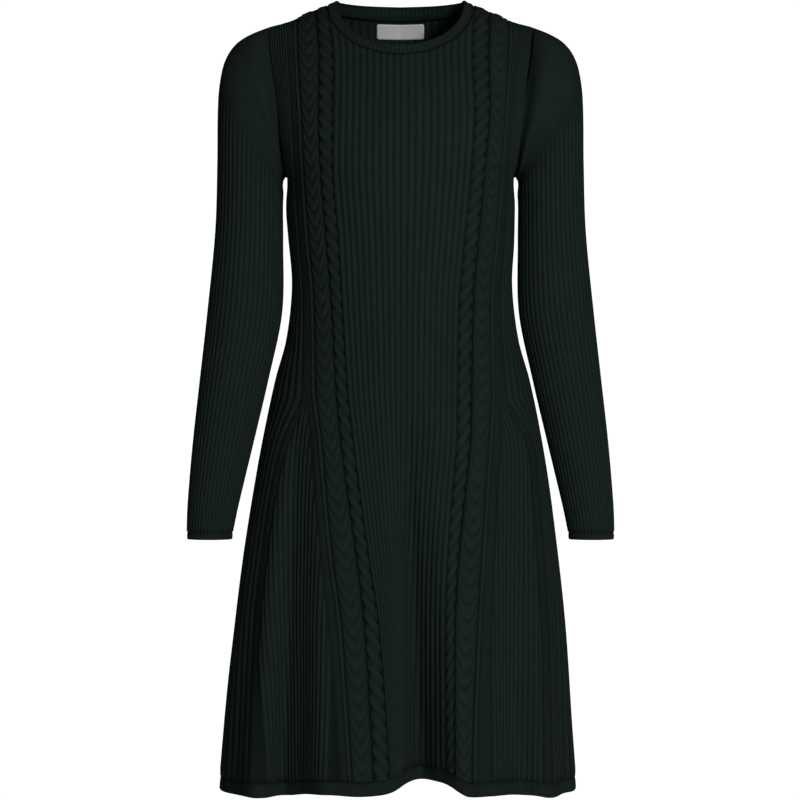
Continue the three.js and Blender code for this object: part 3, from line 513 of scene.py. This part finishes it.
def cablePiece(part, start, end, plait):
    names = part["names"]
    shares = (1 - np.cos(np.linspace(0, np.pi, cable["columns"] + 2))) / 2
    shares = 0.35 * shares + 0.65 * np.linspace(0, 1, cable["columns"] + 2)
    count = len(shares)
    columns = {"low": np.full(count, names.index(start)), "high": np.full(count, names.index(end)),
               "share": shares, "gore": np.full(count, np.nan)}
    bottom, top = columnEnds(part, columns)
    z = mix(bottom + 0.2, top - 0.6, np.linspace(0, 1, cable["rows"])[:, None])
    along, low, high = alongAt(part, columns, z)
    t = 2 * (along - low) / (high - low) - 1
    best, centre = loopHeights(t, z) if plait else ropeHeights(t, z)
    height = cable["plaitHeight" if plait else "ropeHeight"]
    relief = np.where(best > -5, best * height, cable["tuck"])
    relief = np.maximum(relief, cable["tuck"])
    relief[:, 0] = relief[:, -1] = cable["tuck"]
    ends = ease(np.minimum(z - bottom, top - z) / 2.5)
    relief = mix(np.minimum(relief, 0.6), relief, ends)
    points, normals = placeAt(part, along, z), normalAt(part, along, z)
    points = points + normals * relief[..., None]
    uv = np.stack([(t - centre) * (high - low) / 2, z], -1) * 0.001
    name = ("plait" if plait else "rope") + ("_left" if part["half"] < 0 else "_right")
    return gridPiece(name, points, uv, np.clip(relief / height, 0, 1), normals, cable["thickness"])


print("stage: cables")
cables = []
for half in (-1, 1):
    cables.append(cablePiece(halves["front", half], "rope", "plait", False))
    cables.append(cablePiece(halves["front", half], "plait", "rib", True))

# Sleeves
# outer and inner point as seen from the front, half depth and how far back the middle lies
sleeveRows = np.array([
    [179, -32, 138.2, -206.5, 52, -1], [198.5, -45, 139.6, -209.5, 51, -2],
    [211.5, -66, 140.2, -213.5, 49.5, -3], [217.3, -95, 140.4, -219.5, 48, -4],
    [218.5, -138, 140.8, -229, 47, -6], [219, -190, 141, -246, 46, -8],
    [221.5, -270, 140.4, -286, 45, -11], [230.5, -365, 141.4, -367, 43, -15],
    [239.5, -448, 157.8, -448, 39.5, -19], [247.8, -525, 175.8, -525, 35.5, -23],
    [253.4, -595, 192.4, -595, 31.5, -27], [254.4, -628, 199.2, -628, 29, -29],
])
sleeve = {
    "ribs": 42,
    "stepsPerRib": 5,
    "rows": 112,
    "ribDepth": 1.5,
    "ribsStart": 3.4,  # row of the table where the ribs come up out of the smooth cap
    "ribsFull": 5.0,
    # the next value sets how much painted shade the smooth cap gets, as a relief value for the yarn material
    "capShadeLevel": 0.75,  # how light the smooth cap is, between a groove and the top of a rib
    "cuffRibs": 46,
    "cuffWidth": 9.5,
    "cuffRelief": 0.8,
}
# shares of the armhole's height at each fifteenth of its half, from the shoulder down
holeShares = np.concatenate([[1, 0.98, 0.96], 0.96 - 0.1 * np.array([1, 2, 3]) / 3,
                             0.86 - 0.21 * np.arange(1, 5) / 4, 0.65 - 0.3 * np.arange(1, 5) / 4,
                             0.35 - 0.35 * np.arange(1, 3) / 2])


def sleevePoints(row, angle, out):
    outX, outZ, inX, inZ, halfDepth, midY = row
    arm = np.array([-(outX - inX), 0, outZ - inZ]) / 2
    radius = np.linalg.norm(arm)
    middle = np.array([-(outX + inX) / 2, midY, (outZ + inZ) / 2])
    scale = (radius - form["ribHeight"] + out) / radius
    points = middle + arm * scale * np.cos(angle)[:, None]
    points[:, 1] -= (halfDepth - form["ribHeight"] + out) * np.sin(angle)
    return points


def armholeLoop(angle):
    steps = angle / (2 * np.pi) * 30
    loop = np.zeros((len(angle), 3))
    for side in (front, back):
        part = halves[side["name"], -1]
        here = steps <= 15 if side is front else steps > 15
        down = steps[here] if side is front else 30 - steps[here]
        index = part["names"].index("edge")
        columns = {"low": np.array([index]), "high": np.array([index]), "share": np.array([0.0]),
                   "gore": np.array([np.nan])}
        top = columnEnds(part, columns)[1][0]
        z = mix(form["underarm"], top, np.interp(down, np.arange(16), holeShares))
        s = lineAt(part, np.full(len(z), index), z)
        loop[here] = placeAt(part, s, z)
    normal = np.cross(np.roll(loop, -1, axis=0) - np.roll(loop, 1, axis=0), [1.0, 0, 0])
    away = unit(np.cross(unit(normal), unit(np.roll(loop, -1, axis=0) - np.roll(loop, 1, axis=0))))
    away[away[:, 0] > 0] *= -1
    return loop + away * form["seamGap"]


def catmull(points, at):
    count = len(points)
    i = np.clip(np.floor(at).astype(int), 0, count - 2)
    t = (at - i)[:, None, None]
    p0, p1, p2, p3 = (points[np.clip(i + k, 0, count - 1)] for k in (-1, 0, 1, 2))
    return 0.5 * (2 * p1 + (p2 - p0) * t + (2 * p0 - 5 * p1 + 4 * p2 - p3) * t ** 2
                  + (3 * p1 - p0 - 3 * p2 + p3) * t ** 3)


def gridNormals(points, centre):
    across = np.roll(points[:, :-1], -1, axis=1) - np.roll(points[:, :-1], 1, axis=1)
    across = np.concatenate([across, across[:, :1]], axis=1)
    along = np.gradient(points, axis=0)
    normal = unit(np.cross(across, along))
    outward = points - centre
    return normal * np.where((normal * outward).sum(-1, keepdims=True) < 0, -1, 1)


def sleevePiece(half):
    count = sleeve["ribs"] * sleeve["stepsPerRib"]
    angle = np.linspace(0, 2 * np.pi, count + 1)
    rings = [armholeLoop(angle[:-1])]
    rings[0] = np.vstack([rings[0], rings[0][:1]])
    rings += [sleevePoints(row, angle, 0) for row in sleeveRows]
    rings = np.array(rings)
    fine = np.linspace(0, len(rings) - 1, 600)
    line = catmull(rings, fine)[:, 0]
    run = np.concatenate([[0], np.cumsum(np.linalg.norm(np.diff(line, axis=0), axis=1))])
    at = np.interp(np.linspace(0, run[-1], sleeve["rows"]), run, fine)
    points = catmull(rings, at)
    normals = gridNormals(points, points[:, :-1].mean(axis=1, keepdims=True))
    full = ease((at - sleeve["ribsStart"]) / (sleeve["ribsFull"] - sleeve["ribsStart"]))[:, None]
    relief = full * ribShape(angle / (2 * np.pi) * sleeve["ribs"])[None] * sleeve["ribDepth"]
    relief[0] = 0
    steps = np.linalg.norm(np.diff(points, axis=1), axis=2)
    girth = np.concatenate([np.zeros((len(at), 1)), np.cumsum(steps, axis=1)], axis=1)
    length = np.interp(at, fine, run)[:, None] + 0 * girth
    uv = np.stack([girth, -length], -1) * 0.001
    points = points + normals * relief[..., None]
    print("sleeve area", round(cutArea(points), 4), "length", run[-1], "round", girth[:, -1].max())
    flip = np.array([-half, 1, 1])
    name = "sleeve_knit_left" if half < 0 else "sleeve_knit_right"
    # painted shade level for the yarn material: the cap keeps its set value, the ribbed part follows its rib
    # heights
    sleeveShadeLevel = mix(sleeve["capShadeLevel"], relief / sleeve["ribDepth"], full)
    return gridPiece(name, points * flip, uv, sleeveShadeLevel, normals * flip, form["thickness"])


def cuffPiece(half):
    steps = 5
    count = sleeve["cuffRibs"] * steps
    angle = np.linspace(0, 2 * np.pi, count + 1)
    end = sleeveRows[-1]
    low = np.array([254.2, end[1] - sleeve["cuffWidth"], 199.8, end[3] - sleeve["cuffWidth"], 28.5, -29.5])
    shares = np.array([0.04, 0.12, 0.2, 0.34, 0.5, 0.66, 0.82, 0.94, 1])
    points = np.array([sleevePoints(mix(end, low, share), angle, 0.3) for share in shares])
    normals = gridNormals(points, points[:, :-1].mean(axis=1, keepdims=True))
    # a seam line, then the ribbed part
    swell = np.array([0.1, 0.9, 0.2, 0.8, 1, 1, 0.95, 0.7, 0.2])[:, None]
    ribbed = np.array([0.2, 0.2, 0.4, 1, 1, 1, 1, 1, 1])[:, None]
    shape = mix(0.9, ribShape(angle / (2 * np.pi) * sleeve["cuffRibs"])[None], ribbed)
    relief = sleeve["cuffRelief"] * swell * shape
    around = np.linspace(0, 176, count + 1)[None] + 0 * relief
    uv = np.stack([around, points[..., 2]], -1) * 0.001
    flip = np.array([-half, 1, 1])
    name = "cuff_knit_left" if half < 0 else "cuff_knit_right"
    points = points + normals * relief[..., None]
    print("cuff area", round(cutArea(points), 4))
    return gridPiece(name, points * flip, uv, relief / sleeve["cuffRelief"], normals * flip, 1.8)


print("stage: sleeves")
sleeves = {half: sleevePiece(half) for half in (-1, 1)}
cuffs = {half: cuffPiece(half) for half in (-1, 1)}

# Neckband: ribbed, standing at the front and back, lying in at the sides
neckband = {
    "ribs": 92,
    "stepsPerRib": 5,
    "height": 13.0,
    "relief": 1.4,
    "thickness": 2.0,
}


def neckFeet():
    feet, normals = [], []
    for side, direction in ((front, 1), (back, -1)):
        x = np.sin(np.linspace(-np.pi / 2, np.pi / 2, 241)) * form["neckHalf"] * direction
        z = topAt(side, x)
        for xi, zi in zip(x[:-1], z[:-1]):
            part = halves[side["name"], 1 if xi >= 0 else -1]
            row = int(np.clip(round((zi - zGrid[0]) / zStep), 0, len(zGrid) - 1))
            spread = np.linspace(0, 1, acrossSteps + 1) * part["end"][row]
            s = np.array(np.interp(abs(xi), part["x"][row], spread))
            feet.append(placeAt(part, s, np.array(zi)))
            normals.append(normalAt(part, s, np.array(zi)))
    return np.array(feet), np.array(normals)


def smoothRing(values, times):
    for _ in range(times):
        values = (np.roll(values, 1, axis=0) + 2 * values + np.roll(values, -1, axis=0)) / 4
    return values


def neckbandPiece():
    feet, normals = neckFeet()
    normals = unit(smoothRing(normals, 12))
    tangent = unit(np.roll(feet, -1, axis=0) - np.roll(feet, 1, axis=0))
    flatOut = unit(feet * [1, 1, 0])
    forward = -flatOut[:, 1]
    lie = mix(0.94, np.where(forward > 0, 0.38, 0.16), np.abs(forward) ** 1.6)
    rise = -flatOut * lie[:, None]
    rise[:, 2] = np.sqrt(1 - lie ** 2)
    rise = unit(rise - tangent * (rise * tangent).sum(-1, keepdims=True))
    rise = unit(smoothRing(rise, 10))
    topNormal = unit(np.cross(rise, tangent))
    topNormal *= np.where((topNormal * normals).sum(-1, keepdims=True) < 0, -1, 1)
    steps = np.linalg.norm(np.roll(feet, -1, axis=0) - feet, axis=1)
    run = np.concatenate([[0], np.cumsum(steps)])
    count = neckband["ribs"] * neckband["stepsPerRib"]
    at = np.linspace(0, run[-1], count + 1)

    def around(values):
        ring = np.vstack([values, values[:1]])
        return np.stack([np.interp(at, run, ring[:, k]) for k in range(3)], -1)
    feet, rise, normals, topNormal = (around(v) for v in (feet, rise, normals, topNormal))
    # heights above the seam and how far out the band stands there; it starts under the panels
    ups = np.array([-2.6, -0.6, 0.4, 1.2, 2.2, 4, 6.5, 9, 11, 12.2, 12.9, 13.1])
    outs = np.array([-1.9, -1.6, -0.7, 0.2, 0.65, 0.95, 1, 1, 1, 0.8, 0.35, -0.35])
    ribs = ribShape(at / run[-1] * neckband["ribs"])
    rows, facing, relief = [], [], []
    for up, out in zip(ups, outs):
        turn = unit(mix(normals, topNormal, up / neckband["height"]))
        lift = neckband["relief"] * (out * mix(0.3, 1, ribs) if out > 0 else out + 0 * ribs)
        rows.append(feet + rise * up + turn * lift[:, None])
        facing.append(turn)
        relief.append(ribs * max(out, 0))
    points, facing, relief = np.array(rows), np.array(facing), np.array(relief)
    uv = np.stack([at[None] + 0 * relief, ups[:, None] + 0 * relief], -1) * 0.001
    print("neckband area", round(cutArea(points), 4), "round", run[-1])
    return gridPiece("neckband_knit", points, uv, relief, facing, neckband["thickness"])


# Hem band: fine ribs round the lower edge, under a seam line
hem = {
    "ribPitch": 3.6,
    "stepsPerRib": 4,
    "relief": 0.8,
}


def hemPiece():
    rows = np.array([0, 0.5, 1.4, 4, 7.5, 11, 13, 13.8, 14.6, 15.4, 16.2, 18.5])
    outs = np.array([-0.2, 0.5, 0.9, 1, 1, 0.95, 0.6, 0.1, 0.9, 0.5, -2.2, -3.4])  # ends under the panels
    ribbed = np.array([1, 1, 1, 1, 1, 1, 0.7, 0.3, 0.1, 0.1, 0, 0])
    points, normals, run = [], [], 0
    for side, half, outwards in ((front, -1, False), (front, 1, True), (back, 1, False), (back, -1, True)):
        part = halves[side["name"], half]
        length = np.interp(-935, zGrid, part["end"])
        count = int(round(length / hem["ribPitch"])) * hem["stepsPerRib"]
        share = np.arange(count) / count
        share = share if outwards else 1 - share
        z = np.full(count, -930.0)
        for _ in range(8):
            z = hemAt(side, placeAt(part, share * np.interp(z, zGrid, part["end"]), z)[..., 0])
        z = z[None] + rows[:, None]
        s = share * np.interp(z, zGrid, part["end"])
        points.append(placeAt(part, s, z))
        normals.append(normalAt(part, s, z))
        run += length
    points, normals = (np.concatenate(v + [v[0][:, :1]], axis=1) for v in (points, normals))
    count = points.shape[1] - 1
    ribs = ribShape(np.arange(count + 1) / hem["stepsPerRib"])
    relief = hem["relief"] * outs[:, None] * mix(0.8, ribs[None], ribbed[:, None])
    around = np.linspace(0, run, count + 1)[None] + 0 * relief
    uv = np.stack([around, points[..., 2]], -1) * 0.001
    points = points + normals * relief[..., None]
    print("hem area", round(cutArea(points), 4), "round", run)
    return gridPiece("hem_knit", points, uv, np.clip(relief / hem["relief"], 0, 1), normals, 1.8)


print("stage: bands")
neckPiece = neckbandPiece()
hemBandPiece = hemPiece()

# Label inside the back of the neck
label = {
    "width": 58.0,
    "height": 17.0,
    "top": -14.7,
    "offWall": 2.7,  # distance of its face from the outside of the back
    "corner": 1.6,
}


def labelPiece():
    cols, rows = 33, 13
    across = np.linspace(-1, 1, cols)
    up = np.linspace(0, 1, rows)
    x, z = np.meshgrid(across * label["width"] / 2, label["top"] - label["height"] * (1 - up))
    # ends of the outermost columns drawn in, for round corners
    fromEnd = np.minimum(up, 1 - up)[:, None] * label["height"]
    fromCorner = np.minimum(fromEnd, label["corner"]) / label["corner"]
    pull = label["corner"] * (1 - np.sqrt(np.clip(1 - (1 - fromCorner) ** 2, 0, 1)))
    x = x * (1 - pull / (label["width"] / 2))
    points, normals = np.zeros(x.shape + (3,)), np.zeros(x.shape + (3,))
    for half in (-1, 1):
        part = halves["back", half]
        here = x * half >= 0
        s = np.zeros(here.sum())
        for _ in range(12):
            s = s + np.abs(x[here]) - np.abs(placeAt(part, s, z[here])[..., 0])
        points[here], normals[here] = placeAt(part, s, z[here]), normalAt(part, s, z[here])
    bow = 0.4 * np.cos(np.pi * x / label["width"])[..., None]
    points = points - normals * (label["offWall"] + bow)
    uv = np.stack([x, z], -1) * 0.001
    print("label area", round(cutArea(points), 5))
    return gridPiece("label_tape", points, uv, 0 * x, -normals, 0.5)


labelTape = labelPiece()

# Materials
# base is the yarn's own colour; the darker groove colour is painted shade for the ribs' grooves and the
# recesses between stitches
yarn = {
    "base": (0.0128, 0.0208, 0.0184),
    "groove": (0.0045, 0.0078, 0.0068),
    "rough": 0.9,
    "specular": 0.03,
    "sheen": 0.004,
    "sheenTint": (0.55, 0.62, 0.60),
    "stitchWidth": 0.0021,
    "stitchHeight": 0.0017,
}


def newMaterial(name):
    material = bpy.data.materials.new(name)
    material.use_nodes = True
    nodes = material.node_tree.nodes
    return material, material.node_tree, nodes["Principled BSDF"]


def mathNode(tree, operation, a, b=None, c=None):
    node = tree.nodes.new("ShaderNodeMath")
    node.operation = operation
    for socket, value in zip(node.inputs, (a, b, c)):
        if value is None:
            continue
        if hasattr(value, "is_output"):
            tree.links.new(value, socket)
        else:
            socket.default_value = value
    return node.outputs[0]


def yarnMaterial():
    material, tree, shader = newMaterial("yarn")
    uv = tree.nodes.new("ShaderNodeUVMap")
    uv.uv_map = "knit"
    split = tree.nodes.new("ShaderNodeSeparateXYZ")
    tree.links.new(uv.outputs["UV"], split.inputs[0])
    u = mathNode(tree, "DIVIDE", split.outputs["X"], yarn["stitchWidth"])
    v = mathNode(tree, "DIVIDE", split.outputs["Y"], yarn["stitchHeight"])
    side = mathNode(tree, "ABSOLUTE", mathNode(tree, "SUBTRACT", mathNode(tree, "FRACT", u), 0.5))
    slanted = mathNode(tree, "FRACT", mathNode(tree, "MULTIPLY_ADD", side, -1.5, v))
    loop = mathNode(tree, "SINE", mathNode(tree, "MULTIPLY", slanted, math.pi))
    limb = mathNode(tree, "SINE", mathNode(tree, "MULTIPLY", side, 2 * math.pi))
    stitch = mathNode(tree, "MULTIPLY", loop, limb)
    place = tree.nodes.new("ShaderNodeTexCoord")
    fuzz = tree.nodes.new("ShaderNodeTexNoise")
    fuzz.inputs["Scale"].default_value = 900
    fuzz.inputs["Detail"].default_value = 3
    tree.links.new(place.outputs["Object"], fuzz.inputs["Vector"])
    cloud = tree.nodes.new("ShaderNodeTexNoise")
    cloud.inputs["Scale"].default_value = 60
    cloud.inputs["Detail"].default_value = 4
    tree.links.new(place.outputs["Object"], cloud.inputs["Vector"])
    height = mathNode(tree, "MULTIPLY_ADD", fuzz.outputs["Fac"], 0.5, stitch)
    bump = tree.nodes.new("ShaderNodeBump")
    bump.inputs["Strength"].default_value = 0.55
    bump.inputs["Distance"].default_value = 0.0005
    tree.links.new(height, bump.inputs["Height"])
    tree.links.new(bump.outputs["Normal"], shader.inputs["Normal"])
    # painted shade: the colour moves towards the groove colour where the relief attribute is low, in rib
    # grooves, at the cables' tucked edges and on the sleeve cap; the cloud noise adds the yarn's own uneven
    # tone
    relief = tree.nodes.new("ShaderNodeAttribute")
    relief.attribute_name = "relief"
    shade = mathNode(tree, "MULTIPLY_ADD", relief.outputs["Fac"], 0.8, -0.1)
    shadeAndTone = mathNode(tree, "MULTIPLY_ADD", cloud.outputs["Fac"], 0.5, shade)
    # the stitch pattern also darkens the colour between the loops, as painted shade
    depth = mathNode(tree, "MULTIPLY_ADD", stitch, 0.15, shadeAndTone)
    colour = tree.nodes.new("ShaderNodeMix")
    colour.data_type = "RGBA"
    colour.inputs["A"].default_value = (*yarn["groove"], 1)
    colour.inputs["B"].default_value = (*yarn["base"], 1)
    tree.links.new(depth, colour.inputs["Factor"])
    tree.links.new(colour.outputs["Result"], shader.inputs["Base Color"])
    shader.inputs["Roughness"].default_value = yarn["rough"]
    shader.inputs["Specular IOR Level"].default_value = yarn["specular"]
    shader.inputs["Sheen Weight"].default_value = yarn["sheen"]
    shader.inputs["Sheen Roughness"].default_value = 0.6
    shader.inputs["Sheen Tint"].default_value = (*yarn["sheenTint"], 1)
    return material


def labelMaterial():
    material, tree, shader = newMaterial("label_cloth")
    place = tree.nodes.new("ShaderNodeTexCoord")
    threads = tree.nodes.new("ShaderNodeTexNoise")
    threads.inputs["Scale"].default_value = 1800
    tree.links.new(place.outputs["Object"], threads.inputs["Vector"])
    bump = tree.nodes.new("ShaderNodeBump")
    bump.inputs["Strength"].default_value = 0.2
    bump.inputs["Distance"].default_value = 0.0002
    tree.links.new(threads.outputs["Fac"], bump.inputs["Height"])
    tree.links.new(bump.outputs["Normal"], shader.inputs["Normal"])
    shader.inputs["Base Color"].default_value = (0.55, 0.545, 0.56, 1)
    shader.inputs["Roughness"].default_value = 0.6
    return material


print("stage: materials")
yarnLook = yarnMaterial()
labelLook = labelMaterial()
knitted = [frontPiece, backPiece, neckPiece, hemBandPiece, *cables, *sleeves.values(), *cuffs.values()]
for piece in knitted:
    piece.data.materials.append(yarnLook)
    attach(piece, "root")
labelTape.data.materials.append(labelLook)
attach(labelTape, "root")

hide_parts("front")
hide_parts("back")
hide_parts("neckband")
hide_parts("hem_band")
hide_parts("sleeve_left")
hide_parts("sleeve_right")
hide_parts("cuff_left")
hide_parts("cuff_right")
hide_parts("label")

# Stage, lights and camera
stage = {
    "floorZ": -1.5,
    "floorSize": 3,
    "backdrop": 1.05,
    "world": 0.03,
    "keyPower": 84,
    "fillPower": 8,
    "topPower": 2,
    "backPower": 60,
    "camera": (-0.0006, -3.6, -0.472),
    "lens": 135,
}


def floorPiece():
    bm = bmesh.new()
    bmesh.ops.create_grid(bm, x_segments=1, y_segments=1, size=stage["floorSize"])
    for v in bm.verts:
        v.co.z = stage["floorZ"]
    mesh = bpy.data.meshes.new("floor")
    bm.to_mesh(mesh)
    bm.free()
    plane = bpy.data.objects.new("floor", mesh)
    bpy.context.scene.collection.objects.link(plane)
    material, tree, shader = newMaterial("floor_paint")
    shader.inputs["Base Color"].default_value = (0.8, 0.8, 0.8, 1)
    shader.inputs["Roughness"].default_value = 0.9
    mesh.materials.append(material)


def areaLight(name, location, target, size, power):
    lamp = bpy.data.lights.new(name, "AREA")
    lamp.energy = power
    lamp.shape = "RECTANGLE"
    lamp.size, lamp.size_y = size
    holder = bpy.data.objects.new(name, lamp)
    bpy.context.scene.collection.objects.link(holder)
    holder.location = location
    holder.rotation_euler = (Vector(target) - Vector(location)).to_track_quat("-Z", "Y").to_euler()
    holder.visible_camera = False


def studioWorld():
    world = bpy.data.worlds.new("studio")
    world.use_nodes = True
    tree = world.node_tree
    dim = tree.nodes["Background"]
    dim.inputs["Color"].default_value = (1, 1, 1, 1)
    dim.inputs["Strength"].default_value = stage["world"]
    # the camera sees white all round, while the cloth is lit by the dim one
    white = tree.nodes.new("ShaderNodeBackground")
    white.inputs["Color"].default_value = (1, 1, 1, 1)
    white.inputs["Strength"].default_value = stage["backdrop"]
    ray = tree.nodes.new("ShaderNodeLightPath")
    blend = tree.nodes.new("ShaderNodeMixShader")
    tree.links.new(ray.outputs["Is Camera Ray"], blend.inputs["Fac"])
    tree.links.new(dim.outputs["Background"], blend.inputs[1])
    tree.links.new(white.outputs["Background"], blend.inputs[2])
    tree.links.new(blend.outputs["Shader"], tree.nodes["World Output"].inputs["Surface"])
    bpy.context.scene.world = world


print("stage: lights")
floorPiece()
areaLight("key", (1.3, -3.2, 0.2), (0, 0, -0.45), (0.7, 0.7), stage["keyPower"])
areaLight("fill", (-1.6, -2.9, 0.2), (0, 0, -0.5), (0.9, 0.9), stage["fillPower"])
areaLight("top", (0, -0.4, 2.2), (0, 0, -0.3), (1.6, 1.2), stage["topPower"])
areaLight("back", (-0.4, 3.3, 0.3), (0, 0, -0.45), (0.9, 0.9), stage["backPower"])
studioWorld()
bpy.context.scene.view_settings.view_transform = "Standard"
lens = bpy.data.cameras.new("camera")
lens.lens = stage["lens"]
lens.sensor_width = 36
lens.dof.use_dof = False
camera = bpy.data.objects.new("camera", lens)
camera.location = stage["camera"]
camera.rotation_euler = (math.pi / 2, 0, 0)
bpy.context.scene.collection.objects.link(camera)
bpy.context.scene.camera = camera

print("stage: finish")
